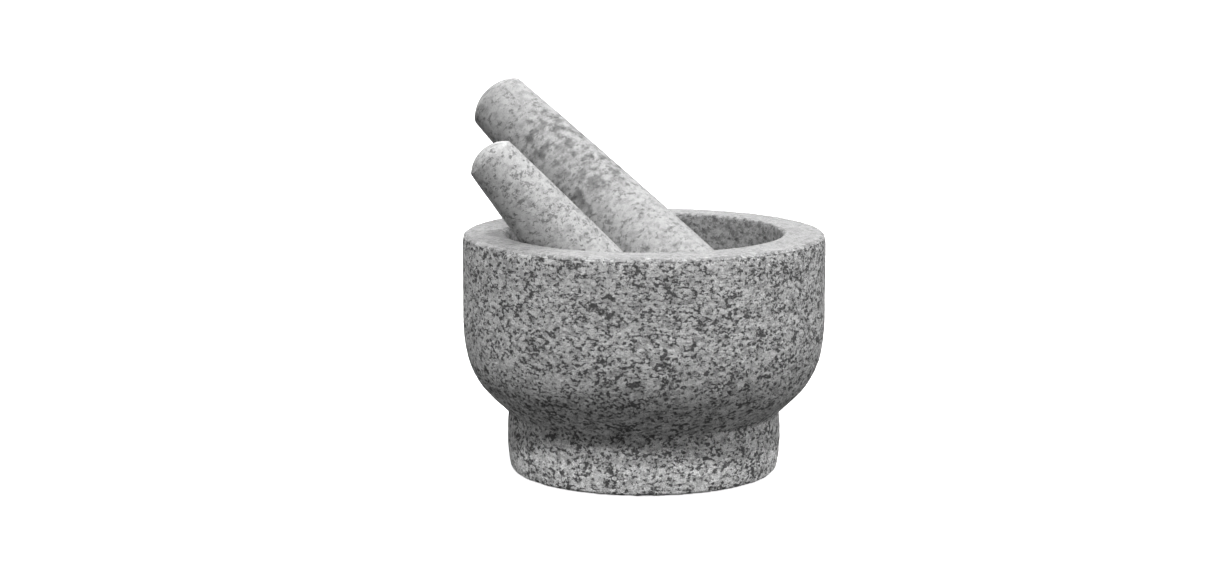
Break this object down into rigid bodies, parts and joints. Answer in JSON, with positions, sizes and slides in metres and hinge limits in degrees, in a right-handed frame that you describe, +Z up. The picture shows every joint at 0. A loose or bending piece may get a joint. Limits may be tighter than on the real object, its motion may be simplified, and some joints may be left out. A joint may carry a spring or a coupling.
{
  "type": "mortar and pestle",
  "caption": "Turned stone mortar with a round foot and a deep round bowl, with a large and a small tapered stone pestle that lean on its rim and lift out.",
  "frame": {"origin": "centre of the foot's flat base, on the surface that the mortar stands on", "axes": "+Z up along the mortar's own axis, -Y towards the side where the small pestle stands, +X away from the side that both pestles lean to"},
  "size_m": [0.203, 0.203, 0.2134],
  "materials": {
    "mortar_stone": "grey speckled granite, rough turned outside, ground rim and bowl",
    "pestle_stone": "light grey speckled granite, rubbed smooth"
  },
  "bodies": {
    "mortar_body": {"mortar": "mortar_stone"},
    "large_pestle_body": {"large_pestle": "pestle_stone"},
    "small_pestle_body": {"small_pestle": "pestle_stone"}
  },
  "joints": [
    {"name": "large_pestle_lift", "type": "slide", "parent": "mortar_body", "child": "large_pestle_body", "axis": [-0.5959, 0.3379, 0.7285], "range_m": [0, 0.117]},
    {"name": "small_pestle_lift", "type": "slide", "parent": "mortar_body", "child": "small_pestle_body", "axis": [-0.5408, 0.0076, 0.8411], "range_m": [0, 0.109]}
  ]
}
